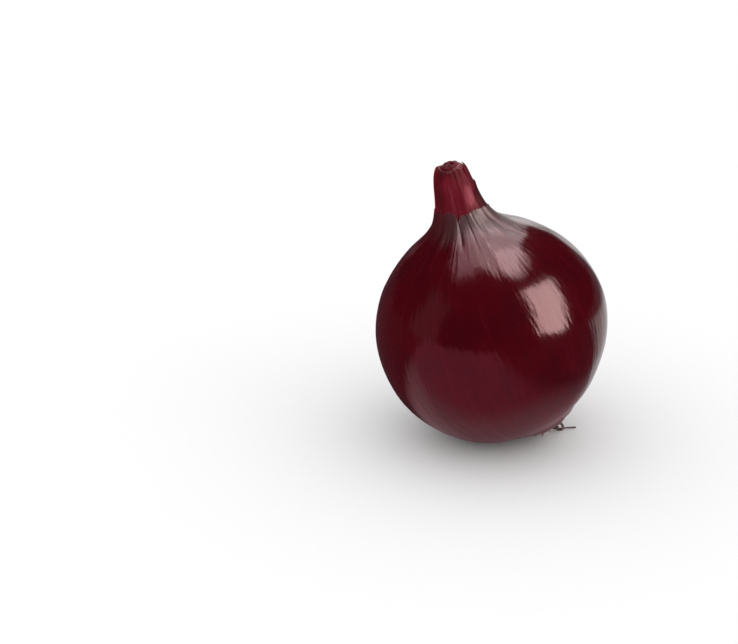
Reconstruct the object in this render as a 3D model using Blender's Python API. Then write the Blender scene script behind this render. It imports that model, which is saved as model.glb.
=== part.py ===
"""A whole red onion with its dry neck, root plate and dried roots, resting on a small flat spot.

Blender 4.5 script, metres, +Z up. The origin is on the flat spot that the onion rests on, with
the middle of the bulb straight above it. The bulb leans: its neck tips towards -X and its root
plate looks down towards +X.

The bulb is described in its own growing frame, whose origin is the bulb's centre and whose
local Z runs from the root plate to the neck. GROWTH_LEAN turns that frame into the world.
"""

import math

import bmesh
import bpy
import numpy as np
from mathutils import Matrix, Vector

MM = 0.001

# --- Driving dimensions ---------------------------------------------------------------------

BULB_RADIUS = 38.6 * MM  # at the widest section
CENTRE_HEIGHT = 37.7 * MM  # of the bulb's centre above the surface it rests on
GROWTH_LEAN = math.radians(20.5)  # of the growing axis, from vertical towards -X
OVALITY = 0.018  # the bulb is this share wider along X than it is along Y
PIECE_GAP = 0.3 * MM  # between pieces that touch

# The bulb's sections from the root end to the neck's tip: height along the growing axis,
# radius, sideways shift of the section's centre, and tilt of the section in degrees.
# The shift and the tilt bend the growing axis, since the bulb has swollen more on one side.
# The last three sections go back down inside the tip: the small hollow where the leaves dried.
SECTIONS = (
    (-37.6 * MM, 5.4 * MM, 5.0 * MM, -8.0),
    (-36.9 * MM, 8.5 * MM, 4.4 * MM, -7.5),
    (-34.5 * MM, 15.3 * MM, 2.9 * MM, -6.0),
    (-29.8 * MM, 23.6 * MM, 1.2 * MM, -4.0),
    (-22.6 * MM, 30.5 * MM, 0.1 * MM, -2.0),
    (-12.6 * MM, 36.2 * MM, -0.2 * MM, -0.5),
    (-0.6 * MM, BULB_RADIUS, 0.0 * MM, 0.0),
    (11.6 * MM, 36.8 * MM, 0.0 * MM, 0.5),
    (22.5 * MM, 31.0 * MM, 0.4 * MM, 1.5),
    (30.6 * MM, 22.8 * MM, 1.6 * MM, 3.0),
    (35.2 * MM, 15.8 * MM, 2.9 * MM, 4.5),
    (38.7 * MM, 11.6 * MM, 3.8 * MM, 5.5),
    (43.0 * MM, 8.9 * MM, 4.2 * MM, 6.0),
    (48.6 * MM, 7.2 * MM, 4.7 * MM, 6.0),
    (53.4 * MM, 6.2 * MM, 5.2 * MM, 6.0),
    (57.0 * MM, 5.1 * MM, 5.7 * MM, 6.0),
    (59.1 * MM, 3.9 * MM, 6.0 * MM, 6.0),
    (59.6 * MM, 2.9 * MM, 6.1 * MM, 6.0),
    (58.8 * MM, 2.1 * MM, 6.0 * MM, 6.0),
    (57.0 * MM, 1.4 * MM, 5.7 * MM, 6.0),
)
AROUND = 48  # points round each section
STEPS_BETWEEN = 2  # rings from one section to the next

# The dry neck is pleated: shallow folds that fade out where the neck meets the bulb.
PLEATS = 7
PLEAT_DEPTH = 0.055  # as a share of the section's radius
PLEATS_START = 35.0 * MM  # height along the growing axis
PLEATS_FULL = 46.0 * MM

PLATE_RADIUS = 5.6 * MM
PLATE_THICKNESS = 1.0 * MM
PLATE_EDGE = 0.4 * MM

# The ring of short roots leaves out the plate's low side, which is almost on the surface.
STUB_RADIUS = 0.42 * MM
STUB_RING_RADIUS = 4.1 * MM
STUB_SPLAY = math.radians(38)
STUBS = (  # turn round the plate from its high side in degrees, and length
    (-126, 2.4 * MM),
    (-99, 3.4 * MM),
    (-74, 2.6 * MM),
    (-50, 3.7 * MM),
    (-27, 2.9 * MM),
    (22, 3.3 * MM),
    (45, 2.5 * MM),
    (70, 3.6 * MM),
    (96, 2.8 * MM),
    (124, 2.3 * MM),
)
LOWEST_ROOT = 0.25 * MM  # clear of the surface that the onion rests on

# The roots that have their own shapes, as world points from the plate outwards.
LONG_ROOT_RADIUS = 0.38 * MM
LONG_ROOT = (
    (18.9 * MM, 0.9 * MM, 2.3 * MM),
    (20.8 * MM, 1.4 * MM, 1.1 * MM),
    (23.6 * MM, 1.2 * MM, 0.7 * MM),
    (26.6 * MM, 2.3 * MM, 0.8 * MM),
    (29.6 * MM, 3.2 * MM, 0.7 * MM),
)
LOOP_ROOT_RADIUS = 0.45 * MM
LOOP_ROOT = (
    (21.8 * MM, -0.7 * MM, 3.9 * MM),
    (23.7 * MM, -1.2 * MM, 4.5 * MM),
    (25.4 * MM, -1.6 * MM, 3.6 * MM),
    (25.6 * MM, -1.7 * MM, 1.9 * MM),
    (24.1 * MM, -1.6 * MM, 0.9 * MM),
    (22.3 * MM, -1.5 * MM, 1.3 * MM),
)

ROOT_SIDES = 2  # a curve's bevel_resolution: 2 gives 8 sides
ROOT_POINTS = 16

COLOURS = {
    "skin": ((0.095, 0.006, 0.016), 0.26),
    "plate": ((0.36, 0.22, 0.11), 0.85),
    "root": ((0.34, 0.24, 0.16), 0.75),
}


# --- Helpers ----------------------------------------------------------------------------------


def clear_scene():
    for obj in list(bpy.data.objects):
        bpy.data.objects.remove(obj)


def finish_material(name):
    """A Principled material in one of the onion's colours."""
    material = bpy.data.materials.new(name)
    material.use_nodes = True
    shader = material.node_tree.nodes["Principled BSDF"]
    colour, roughness = COLOURS[name]
    shader.inputs["Base Color"].default_value = (*colour, 1.0)
    shader.inputs["Roughness"].default_value = roughness
    shader.inputs["Metallic"].default_value = 0.0
    return material


def add_object(name, data, material, place=None):
    """Links data to the scene as a named object, placed by a matrix."""
    obj = bpy.data.objects.new(name, data)
    data.materials.append(material)
    bpy.context.scene.collection.objects.link(obj)
    if place is not None:
        obj.matrix_world = place
    return obj


def through(points, steps):
    """Points on a smooth Catmull-Rom curve through rows of numbers, both ends included."""
    rows = np.array(points, float)
    padded = np.vstack([2 * rows[0] - rows[1], rows, 2 * rows[-1] - rows[-2]])
    found = []
    for i in range(len(rows) - 1):
        before, start, end, after = padded[i : i + 4]
        for step in range(steps):
            t = step / steps
            found.append(
                0.5
                * (
                    2 * start
                    + (end - before) * t
                    + (2 * before - 5 * start + 4 * end - after) * t**2
                    + (3 * start - before - 3 * end + after) * t**3
                )
            )
    found.append(rows[-1])
    return found


# --- The bulb ---------------------------------------------------------------------------------


def growing_frame():
    """The matrix from the bulb's growing frame to the world."""
    return Matrix.Translation((0, 0, CENTRE_HEIGHT)) @ Matrix.Rotation(-GROWTH_LEAN, 4, "Y")


def section_frame(height, shift, tilt):
    """The matrix of one section's plane, in the growing frame."""
    return Matrix.Translation((shift, 0, height)) @ Matrix.Rotation(math.radians(tilt), 4, "Y")


def section_ring(height, radius, shift, tilt):
    """The points round one section, in the growing frame."""
    frame = section_frame(height, shift, tilt)
    rise = (height - PLEATS_START) / (PLEATS_FULL - PLEATS_START)
    pleat = PLEAT_DEPTH * min(1.0, max(0.0, rise))
    points = []
    for i in range(AROUND):
        turn = 2 * math.pi * i / AROUND
        reach = radius * (1 + pleat * math.cos(PLEATS * turn))
        wide, deep = reach * (1 + OVALITY / 2), reach * (1 - OVALITY / 2)
        points.append(frame @ Vector((wide * math.cos(turn), deep * math.sin(turn), 0)))
    return points


def make_bulb(material):
    """The bulb with its neck: one closed solid, cut flat where it rests."""
    shape = bmesh.new()
    place = growing_frame()
    rings = []
    for height, radius, shift, tilt in through(SECTIONS, STEPS_BETWEEN):
        ring = section_ring(height, radius, shift, tilt)
        rings.append([shape.verts.new(place @ point) for point in ring])
    for lower, upper in zip(rings, rings[1:]):
        for i in range(AROUND):
            j = (i + 1) % AROUND
            shape.faces.new((lower[i], lower[j], upper[j], upper[i]))
    shape.faces.new(list(reversed(rings[0])))
    shape.faces.new(rings[-1])
    flatten_underside(shape)
    bmesh.ops.recalc_face_normals(shape, faces=shape.faces)
    mesh = bpy.data.meshes.new("bulb")
    shape.to_mesh(mesh)
    shape.free()
    mesh.shade_smooth()
    mesh.set_sharp_from_angle(angle=math.radians(50))
    return add_object("bulb", mesh, material)


def flatten_underside(shape):
    """Cuts the shape at the resting surface and closes it with one flat face."""
    everything = shape.verts[:] + shape.edges[:] + shape.faces[:]
    cut = bmesh.ops.bisect_plane(
        shape, geom=everything, dist=1e-7, plane_co=(0, 0, 0), plane_no=(0, 0, -1), clear_outer=True
    )
    rim = [item for item in cut["geom_cut"] if isinstance(item, bmesh.types.BMEdge)]
    bmesh.ops.edgeloop_fill(shape, edges=rim)


# --- The root plate and the roots -------------------------------------------------------------


def plate_frame():
    """World matrix of the root plate: its centre's top face, with local -Z along the roots."""
    height, _, shift, tilt = SECTIONS[0]
    return growing_frame() @ section_frame(height, shift, tilt)


def make_plate(material):
    """The corky root plate: a thin disc with a rounded edge, just clear of the bulb's end."""
    shape = bmesh.new()
    middle = -(PIECE_GAP + PLATE_THICKNESS / 2)
    bmesh.ops.create_cone(
        shape,
        cap_ends=True,
        segments=28,
        radius1=PLATE_RADIUS - PLATE_EDGE,
        radius2=PLATE_RADIUS,
        depth=PLATE_THICKNESS,
        matrix=Matrix.Translation((0, 0, middle)),
    )
    mesh = bpy.data.meshes.new("root_plate")
    shape.to_mesh(mesh)
    shape.free()
    plate = add_object("root_plate", mesh, material, plate_frame())
    bevel = plate.modifiers.new("rounded edge", "BEVEL")
    bevel.width = PLATE_EDGE
    bevel.segments = 2
    return plate


def make_root(name, route, radius, material):
    """One dried root: a thin tube along a smooth curve through the route's world points."""
    curve = bpy.data.curves.new(name, "CURVE")
    curve.dimensions = "3D"
    curve.bevel_depth = radius
    curve.bevel_resolution = ROOT_SIDES
    curve.use_fill_caps = True
    steps = max(2, round(ROOT_POINTS / (len(route) - 1)))
    points = through(route, steps)
    spline = curve.splines.new("POLY")
    spline.points.add(len(points) - 1)
    for place, point in zip(spline.points, points):
        place.co = (*point, 1.0)
    return add_object(name, curve, material)


def above_surface(point, radius):
    """The point, lifted if needed so that a root of that radius stays above the surface."""
    return Vector((point.x, point.y, max(point.z, radius + LOWEST_ROOT)))


def make_stubs(material):
    """The ring of short dried roots that splay out of the root plate's underside."""
    frame = plate_frame()
    base = Vector((0, 0, -(PLATE_THICKNESS + 2 * PIECE_GAP + STUB_RADIUS)))
    for i, (turn_degrees, length) in enumerate(STUBS):
        turn = math.radians(turn_degrees)
        outward = Vector((math.cos(turn), math.sin(turn), 0))
        start = outward * STUB_RING_RADIUS + base
        route = []
        for share in (0.0, 0.5, 1.0):
            bend = STUB_SPLAY * (1 + share)
            along = outward * math.sin(bend) + Vector((0, 0, -math.cos(bend)))
            route.append(above_surface(frame @ (start + length * share * along), STUB_RADIUS))
        make_root(f"root_stub_{i + 1:02d}", route, STUB_RADIUS, material)


def build():
    clear_scene()
    skin = finish_material("skin")
    plate = finish_material("plate")
    root = finish_material("root")
    make_bulb(skin)
    make_plate(plate)
    make_stubs(root)
    make_root("root_long", LONG_ROOT, LONG_ROOT_RADIUS, root)
    make_root("root_loop", LOOP_ROOT, LOOP_ROOT_RADIUS, root)


build()
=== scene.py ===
"""The looks of a whole red onion: glossy veined skin, a papery pleated neck and a corky root end.

The onion is lofted in its own growing frame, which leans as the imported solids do. Every piece of
it, from the skin to the torn papers round the neck, is laid on that one surface.
"""

import logging
import math
from dataclasses import dataclass, field
from enum import Enum
from functools import cached_property

import bpy
import numpy as np
from mathutils import Matrix, Vector


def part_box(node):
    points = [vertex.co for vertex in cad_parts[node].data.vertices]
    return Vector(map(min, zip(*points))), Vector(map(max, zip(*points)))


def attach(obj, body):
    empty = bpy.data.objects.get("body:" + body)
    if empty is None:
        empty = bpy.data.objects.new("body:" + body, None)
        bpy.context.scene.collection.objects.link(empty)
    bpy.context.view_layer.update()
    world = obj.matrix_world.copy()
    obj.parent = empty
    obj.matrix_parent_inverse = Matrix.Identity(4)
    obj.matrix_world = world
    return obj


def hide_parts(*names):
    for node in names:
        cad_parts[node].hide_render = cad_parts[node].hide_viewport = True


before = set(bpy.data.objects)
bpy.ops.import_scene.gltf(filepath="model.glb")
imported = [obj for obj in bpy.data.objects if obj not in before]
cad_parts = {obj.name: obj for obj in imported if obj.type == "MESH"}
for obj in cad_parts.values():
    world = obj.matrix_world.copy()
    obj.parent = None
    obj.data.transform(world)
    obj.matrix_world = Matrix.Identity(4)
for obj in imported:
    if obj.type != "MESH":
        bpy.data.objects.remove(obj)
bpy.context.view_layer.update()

LOG = logging.getLogger("onion")
MM = 0.001
TAU = 2 * math.pi
BODY = "root"
DOWN = np.array([0.0, 0.0, -1.0])
Array = np.ndarray
Colour = tuple[float, float, float]
Material = bpy.types.Material
Piece = bpy.types.Object


class Slot(Enum):
    """The record's material slots."""

    SKIN = "skin"
    PLATE = "plate"
    ROOT = "root"


# --- Shader maths -----------------------------------------------------------------------------


class Wire:
    """A number on its way through a material's nodes, with Python's operators as Math nodes."""

    def __init__(self, board: "Board", socket: bpy.types.NodeSocket) -> None:
        """Keeps the board that the wire is on and the socket that it comes from."""
        self.board = board
        self.socket = socket

    def maths(self, operation: str, *values: "Wire | float") -> "Wire":
        """The result of one Math node that takes the values in order."""
        sockets = dict(enumerate(values))
        return self.board.node("ShaderNodeMath", {"operation": operation}, sockets)

    def __add__(self, other: "Wire | float") -> "Wire":
        """self + other."""
        return self.maths("ADD", self, other)

    __radd__ = __add__

    def __mul__(self, other: "Wire | float") -> "Wire":
        """self * other."""
        return self.maths("MULTIPLY", self, other)

    __rmul__ = __mul__

    def __sub__(self, other: "Wire | float") -> "Wire":
        """self - other."""
        return self.maths("SUBTRACT", self, other)

    def __rsub__(self, other: float) -> "Wire":
        """other - self."""
        return self.maths("SUBTRACT", other, self)

    def between(self, low: float, high: float) -> "Wire":
        """A smooth step.

        Args:
            low: Where it is 0.
            high: Where it is 1, which may be the smaller of the two.

        Returns:
            The step's value.
        """
        smooth = {"interpolation_type": "SMOOTHSTEP"}
        ends = (low, high, 0.0, 1.0) if low <= high else (high, low, 1.0, 0.0)
        return self.board.node("ShaderNodeMapRange", smooth, dict(enumerate((self, *ends))))


class Board:
    """The node tree of one material or of the world."""

    def __init__(self, tree: bpy.types.NodeTree) -> None:
        """Empties the tree, ready for its nodes."""
        self.tree = tree
        tree.nodes.clear()

    def node(
        self, kind: str, settings: dict | None = None, sockets: dict | None = None, out: int = 0
    ) -> Wire:
        """Makes any node.

        Args:
            kind: The node's type.
            settings: Its properties, set first.
            sockets: What each input takes, by name or number: a wire or a value.
            out: The number of the output that is wanted.

        Returns:
            A wire from that output.
        """
        made = self.tree.nodes.new(kind)
        for name, value in (settings or {}).items():
            setattr(made, name, value)
        for key, value in (sockets or {}).items():
            if isinstance(value, Wire):
                self.tree.links.new(value.socket, made.inputs[key])
            else:
                made.inputs[key].default_value = value
        return Wire(self, made.outputs[out])

    def attribute(self, name: str, out: int = 2) -> Wire:
        """A mesh attribute's number, or its vector with out=1."""
        return self.node("ShaderNodeAttribute", {"attribute_name": name}, out=out)

    def noise(
        self, spot: Wire, scale: float, detail: float = 3.0, rough: float = 0.55, along: float = 1.0
    ) -> Wire:
        """Fractal noise, about 0.5 on average.

        Args:
            spot: Where it is looked up.
            scale: How fine it is.
            detail: How many finer layers it has.
            rough: How strong those are.
            along: How fine it is along the grain, for each unit across it.

        Returns:
            The noise.
        """
        if along != 1.0:
            sockets = {0: spot, 1: (1.0, 1.0, along)}
            spot = self.node("ShaderNodeVectorMath", {"operation": "MULTIPLY"}, sockets)
        sockets = {"Vector": spot, "Scale": scale, "Detail": detail, "Roughness": rough}
        return self.node("ShaderNodeTexNoise", {}, sockets)

    def blend(self, share: "Wire | float", first: "Wire | Colour", second: "Wire | Colour") -> Wire:
        """Two colours mixed, with share as how much of the second there is."""
        first, second = (c if isinstance(c, Wire) else (*c, 1.0) for c in (first, second))
        return self.node("ShaderNodeMix", {"data_type": "RGBA"}, {0: share, 6: first, 7: second}, 2)

    def layers(self, base: "Wire | Colour", *coats: tuple) -> Wire:
        """A colour under coats of others.

        Args:
            base: The lowest colour.
            coats: Each coat's share and colour, from the lowest up.

        Returns:
            The colour of them all together.
        """
        for share, colour in coats:
            base = self.blend(share, base, colour)
        return base

    def bump(self, height: Wire, distance: float, strength: float) -> Wire:
        """A normal from a height, with distance as the height's full range in metres."""
        sockets = {"Height": height, "Distance": distance, "Strength": strength}
        return self.node("ShaderNodeBump", {}, sockets)

    def finish(self, surface: Wire, output: str = "ShaderNodeOutputMaterial") -> None:
        """Ends the tree with its output node."""
        sink = self.tree.nodes.new(output)
        self.tree.links.new(surface.socket, sink.inputs["Surface"])

    def principled(self, sockets: dict, settings: dict | None = None) -> None:
        """Ends the tree with a Principled surface."""
        self.finish(self.node("ShaderNodeBsdfPrincipled", settings, sockets))


def new_board(name: str) -> tuple[Material, Board]:
    """Makes a material.

    Args:
        name: The material's name.

    Returns:
        The material and the board for its nodes.
    """
    material = bpy.data.materials.new(name)
    material.use_nodes = True
    return material, Board(material.node_tree)


# --- Finishes ---------------------------------------------------------------------------------


@dataclass(frozen=True)
class OnionPaper:
    """Dry red onion skin: glossy maroon on the bulb, thin translucent crimson up the neck."""

    name: str = "onion_paper"
    deep: Colour = (0.056, 0.0004, 0.0030)
    shade: Colour = (0.030, 0.0006, 0.0036)
    bright: Colour = (0.080, 0.0022, 0.0085)
    crimson: Colour = (0.140, 0.0045, 0.0130)
    rose: Colour = (0.400, 0.075, 0.100)
    garnet: Colour = (0.075, 0.0010, 0.0045)
    dry: Colour = (0.190, 0.046, 0.044)
    speck: Colour = (0.060, 0.022, 0.012)
    # painted shade: the dark tone laid into the folds of the skin and the neck's leaves
    crease: Colour = (0.014, 0.0006, 0.0022)
    gloss: float = 0.10  # roughness of the bulb,
    rim_gloss: float = 0.42  # of the dull skin round the neck's foot
    neck_gloss: float = 0.34  # and of the neck's leaves
    bloom_gloss: float = 0.5  # roughness of the pale sheen over the dull skin
    bloom_refraction: float = 1.6
    sheen_tint: Colour = (1.0, 0.63, 0.63)
    translucency: float = 0.10
    glow: Colour = (1.0, 0.12, 0.16)  # how far each colour goes through it
    glow_depth: float = 1.6 * MM
    refraction: float = 1.5
    relief: float = 0.12 * MM

    def material(self) -> Material:
        """Builds the skin's nodes.

        Returns:
            The material, which reads every attribute that OnionForm.marks gives.
        """
        material, board = new_board(self.name)
        run = board.attribute("run", out=1)
        papery, fold, vein, dryness, blush_and_shade, dull, bloom = map(
            board.attribute, ("neck", "fold", "vein", "dryness", "blush_and_shade", "dull", "bloom")
        )
        streaks = board.noise(run, 5.0, 5.0, 0.60, along=0.10)
        threads = board.noise(run, 24.0, 3.0, 0.6, along=0.07)
        ripples = board.noise(run, 7.5, 2.0, 0.5, along=0.30)
        washes = board.noise(run, 2.6, 3.0, 0.5, along=0.42)
        fibres = board.noise(run, 9.0, 5.0, 0.62, along=0.16)
        clouds = board.noise(run, 0.6, 2.0)
        grit = board.noise(run, 16.0, 4.0, 0.7)

        skin = board.layers(
            self.deep,
            (clouds.between(0.40, 0.70) * 0.45, self.shade),
            (streaks.between(0.50, 0.78) * 0.45, self.shade),
            (streaks.between(0.48, 0.26) * 0.45, self.bright),
            (threads.between(0.58, 0.76) * 0.08, self.bright),
            (vein * 0.05, self.bright),
        )
        rosy = washes.between(0.52, 0.76) * 0.30 + blush_and_shade * (0.35 + washes * 0.8)
        leaf = board.layers(
            self.crimson,
            (rosy.between(0.0, 1.0), self.rose),
            (washes.between(0.48, 0.28) * 0.80, self.garnet),
            # deep red where the field is negative: partly the leaves' own colour, partly painted
            # shade on the neck's left side and at the front of its tip
            (blush_and_shade.between(-0.15, -0.80) * 0.90, self.garnet),
            (fibres.between(0.56, 0.72) * 0.22, self.rose),
            (fibres.between(0.46, 0.30) * 0.40, self.garnet),
        )
        withered = (dryness * (0.35 + washes + grit * 0.25)).between(0.42, 0.92)
        colour = board.layers(
            skin,
            (papery, leaf),
            (withered * 0.85, self.dry),
            (withered * grit.between(0.56, 0.68), self.speck),
            # painted shade: the skin and leaves darken in their folds, more where a fold is deeper
            (fold * 0.70, self.crease),
        )
        worn = streaks * 0.07 + withered * 0.20
        collar = self.gloss + dull * (self.rim_gloss - self.gloss)
        height = threads * 0.25 + ripples + papery * fibres * 0.6
        sockets = {
            "Base Color": colour,
            "Roughness": collar + papery * (self.neck_gloss - self.rim_gloss) + worn,
            "Normal": board.bump(height, self.relief, 0.6),
            "Coat Weight": bloom * (1 - papery),
            "Coat Roughness": self.bloom_gloss,
            "Coat IOR": self.bloom_refraction,
            "IOR": self.refraction,
            "Specular Tint": (*self.sheen_tint, 1.0),
            "Subsurface Weight": self.translucency,
            "Subsurface Radius": self.glow,
            "Subsurface Scale": self.glow_depth,
        }
        board.principled(sockets, {"subsurface_method": "RANDOM_WALK"})
        return material


@dataclass(frozen=True)
class Cork:
    """The root plate's dry corky tissue, golden brown with darker rings and pits."""

    name: str = "root_cork"
    tan: Colour = (0.47, 0.300, 0.150)
    umber: Colour = (0.15, 0.075, 0.040)
    straw: Colour = (0.66, 0.49, 0.29)
    relief: float = 0.35 * MM

    def material(self) -> Material:
        """Builds the cork's nodes.

        Returns:
            The material.
        """
        material, board = new_board(self.name)
        place = board.node("ShaderNodeTexCoord", out=3)
        grit = board.noise(place, 1500.0, 5.0, 0.7)
        patches = board.noise(place, 420.0)
        colour = board.layers(
            self.tan,
            (patches.between(0.40, 0.66), self.umber),
            (grit.between(0.52, 0.72) * 0.7, self.straw),
            (grit.between(0.44, 0.28) * 0.8, self.umber),
        )
        normal = board.bump(grit + patches, self.relief, 0.8)
        roughness = 0.74 + grit * 0.25
        board.principled({"Base Color": colour, "Roughness": roughness, "Normal": normal})
        return material


@dataclass(frozen=True)
class RootFibre:
    """A dried root: a wrinkled brown-grey thread, paler where its bark has rubbed off."""

    name: str
    bark: Colour
    wood: Colour
    relief: float = 0.12 * MM

    def material(self) -> Material:
        """Builds the root's nodes.

        Returns:
            The material, which reads the run attribute: round the root and along it.
        """
        material, board = new_board(self.name)
        run = board.attribute("run", out=1)
        wrinkles = board.noise(run, 3.2, 4.0, 0.65, along=0.35)
        patches = board.noise(run, 0.55)
        colour = board.layers(
            self.bark,
            (patches.between(0.42, 0.62), self.wood),
            (wrinkles.between(0.50, 0.32) * 0.7, self.bark),
        )
        normal = board.bump(wrinkles, self.relief, 0.8)
        roughness = 0.60 + wrinkles * 0.25
        board.principled({"Base Color": colour, "Roughness": roughness, "Normal": normal})
        return material


@dataclass(frozen=True)
class Tabletop:
    """The pale matt floor, with painted reflections: tones that only glossy rays see, which the
    glossy skin mirrors in each part of it.
    """

    name: str = "tabletop"
    white: Colour = (0.93, 0.93, 0.93)
    front: Colour = (0.62, 0.27, 0.39)
    close: Colour = (0.82, 0.56, 0.62)  # in front, by the onion
    beside: Colour = (0.06, 0.04, 0.05)  # on the right in front, on the left behind
    behind: Colour = (0.28, 0.27, 0.28)
    lit: Colour = (0.75, 0.75, 0.76)  # behind to the right, and far off straight behind
    distant: Colour = (0.10, 0.09, 0.11)  # far off behind to the right
    rear_slope: float = 0.35  # how far back the rear zone starts for each step aside,
    lit_slope: float = 0.45  # and how far aside the lit zone starts for each step back,
    distant_slope: float = 0.36  # and the distant one

    def material(self) -> Material:
        """Builds the floor's nodes.

        Returns:
            The material.
        """
        material, board = new_board(self.name)
        place = board.node("ShaderNodeTexCoord", out=3)
        aside, back = (board.node("ShaderNodeSeparateXYZ", {}, {0: place}, out) for out in (0, 1))
        glossy = board.node("ShaderNodeLightPath", out=3)
        nearer = board.layers(
            self.front,
            (back.between(-0.050, -0.025), self.close),
            (aside.between(0.01, 0.07), self.beside),
        )
        right = (aside - self.distant_slope * back).between(-0.01, 0.06)
        farther = board.layers(
            self.behind,
            ((aside - self.lit_slope * back).between(-0.03, 0.02), self.lit),
            (back.between(0.12, 0.24), board.blend(right, self.lit, self.distant)),
            (aside.between(0.02, -0.02), self.beside),
        )
        rear = (back - self.rear_slope * aside).between(-0.006, 0.012)
        # painted reflections: only glossy rays see the pink, dark and lit tones; every other ray
        # sees the white floor
        colour = board.blend(glossy, self.white, board.blend(rear, nearer, farther))
        board.finish(board.node("ShaderNodeBsdfDiffuse", {}, {"Color": colour}))
        return material


# --- Mesh helpers -----------------------------------------------------------------------------


def grid_faces(rows: int, columns: int, closed: bool = True, start: int = 0) -> list:
    """The quads of a grid whose points are numbered row by row.

    Args:
        rows: How many rows of points there are.
        columns: How many points a row has.
        closed: Whether each row joins up with itself.
        start: The number of the grid's first point.

    Returns:
        Four point numbers per quad.
    """
    number = np.arange(rows * columns).reshape(rows, columns) + start
    right = np.roll(number, -1, axis=1)
    spans = columns if closed else columns - 1
    corners = (number[:-1], right[:-1], right[1:], number[1:])
    return np.stack([c[:, :spans] for c in corners], axis=-1).reshape(-1, 4).tolist()


def tube_faces(rows: int, columns: int) -> list:
    """The quads of a grid whose rows are closed, and a cap on its first row and on its last.

    Args:
        rows: How many rows of points there are.
        columns: How many points a row has.

    Returns:
        Lists of point numbers, the two caps last.
    """
    last = (rows - 1) * columns
    caps = [list(range(columns))[::-1], list(range(last, last + columns))]
    return grid_faces(rows, columns) + caps


def flipped(faces: list) -> list:
    """The same faces, facing the other way."""
    return [face[::-1] for face in faces]


def make_mesh(name: str, points: Array, faces: list, attributes: dict) -> Piece:
    """Makes a smooth-shaded mesh object from points, faces and point attributes.

    Args:
        name: The piece's name.
        points: World points, in rows or in a grid.
        faces: Sequences of point numbers.
        attributes: Attribute names to arrays with one number or one vector per point.

    Returns:
        The new object.
    """
    mesh = bpy.data.meshes.new(name)
    mesh.from_pydata(points.reshape(-1, 3).tolist(), [], faces)
    for label, values in attributes.items():
        vector = values.size == points.size
        layer = mesh.attributes.new(label, "FLOAT_VECTOR" if vector else "FLOAT", "POINT")
        numbers = np.asarray(values, np.float32).ravel()
        layer.data.foreach_set("vector" if vector else "value", numbers)
    mesh.shade_smooth()
    mesh.update()
    made = bpy.data.objects.new(name, mesh)
    bpy.context.scene.collection.objects.link(made)
    return made


def add_piece(made: Piece, material: Material, stands_for: tuple = ()) -> Piece:
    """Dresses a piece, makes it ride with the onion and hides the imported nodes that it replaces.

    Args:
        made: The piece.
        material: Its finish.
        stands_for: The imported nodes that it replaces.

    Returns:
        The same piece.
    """
    made.data.materials.append(material)
    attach(made, BODY)
    if stands_for:
        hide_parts(*stands_for)
    LOG.info("%s: %d points", made.name, len(made.data.vertices))
    return made


def smooth_rise(value: Array, low: float, high: float) -> Array:
    """0 below low, 1 above high, and smooth between them."""
    share = np.clip((value - low) / (high - low), 0.0, 1.0)
    return share * share * (3 - 2 * share)


def bell(value: Array, power: float = 2) -> Array:
    """1 at nought, falling away smoothly on both sides."""
    return np.exp(-(np.abs(value) ** power))


def swing(turn: Array, middle: "Array | float") -> Array:
    """How far each turn is from the middle, the short way round, in radians."""
    return (turn - middle + math.pi) % TAU - math.pi


def circle(rows: int, columns: int) -> Array:
    """Turns evenly spaced round a circle, the same on each row of a grid."""
    return np.tile(np.arange(columns) * TAU / columns, (rows, 1))


def placed(place: Matrix, local: Array) -> Array:
    """Points carried from a place's own frame to the world."""
    return local @ np.array(place.to_3x3()).T + np.array(place.translation)


@dataclass(frozen=True)
class Grain:
    """A smooth random field over the bulb, with its marks stretched in the growing direction.

    It is random numbers, blurred by a Gaussian and scaled to a root mean square of 1.
    """

    seed: int
    across: float  # radians
    along: float  # metres
    length: float = 0.2  # of the stretch of surface that it covers
    rows: int = 512
    columns: int = 1024

    @cached_property
    def values(self) -> Array:
        """Works out the field, once.

        Returns:
            Its numbers, one row per step along the bulb.
        """
        raw = np.random.default_rng(self.seed).normal(size=(self.rows, self.columns))
        up = np.fft.fftfreq(self.rows, self.length / self.rows) * TAU
        around = np.fft.fftfreq(self.columns, TAU / self.columns) * TAU
        blur = np.exp(-0.5 * ((up[:, None] * self.along) ** 2 + (around * self.across) ** 2))
        smooth = np.fft.ifft2(np.fft.fft2(raw) * blur).real
        return smooth / smooth.std()

    def at(self, run: Array, turn: Array) -> Array:
        """Looks the field up.

        Args:
            run: Distances along the bulb.
            turn: Turns round it.

        Returns:
            The value at each place, blended from the four numbers round it.
        """
        row = (run / self.length * self.rows) % self.rows
        column = (turn / TAU * self.columns) % self.columns
        r, c = row.astype(int), column.astype(int)
        u, v = row - r, column - c
        r, c = r % self.rows, c % self.columns
        r2, c2 = (r + 1) % self.rows, (c + 1) % self.columns
        low = self.values[r, c] * (1 - v) + self.values[r, c2] * v
        high = self.values[r2, c] * (1 - v) + self.values[r2, c2] * v
        return low * (1 - u) + high * u


# --- The onion's surface ----------------------------------------------------------------------


@dataclass(frozen=True)
class Crease:
    """One fold that runs down from the neck over the shoulder."""

    turn: float  # degrees round the growing axis, with -90 in front
    depth: float  # at the neck's foot
    width: float  # radians
    reach: float  # how far down the shoulder it runs from the neck's foot
    drift: float  # radians that it wanders sideways over its reach


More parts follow.
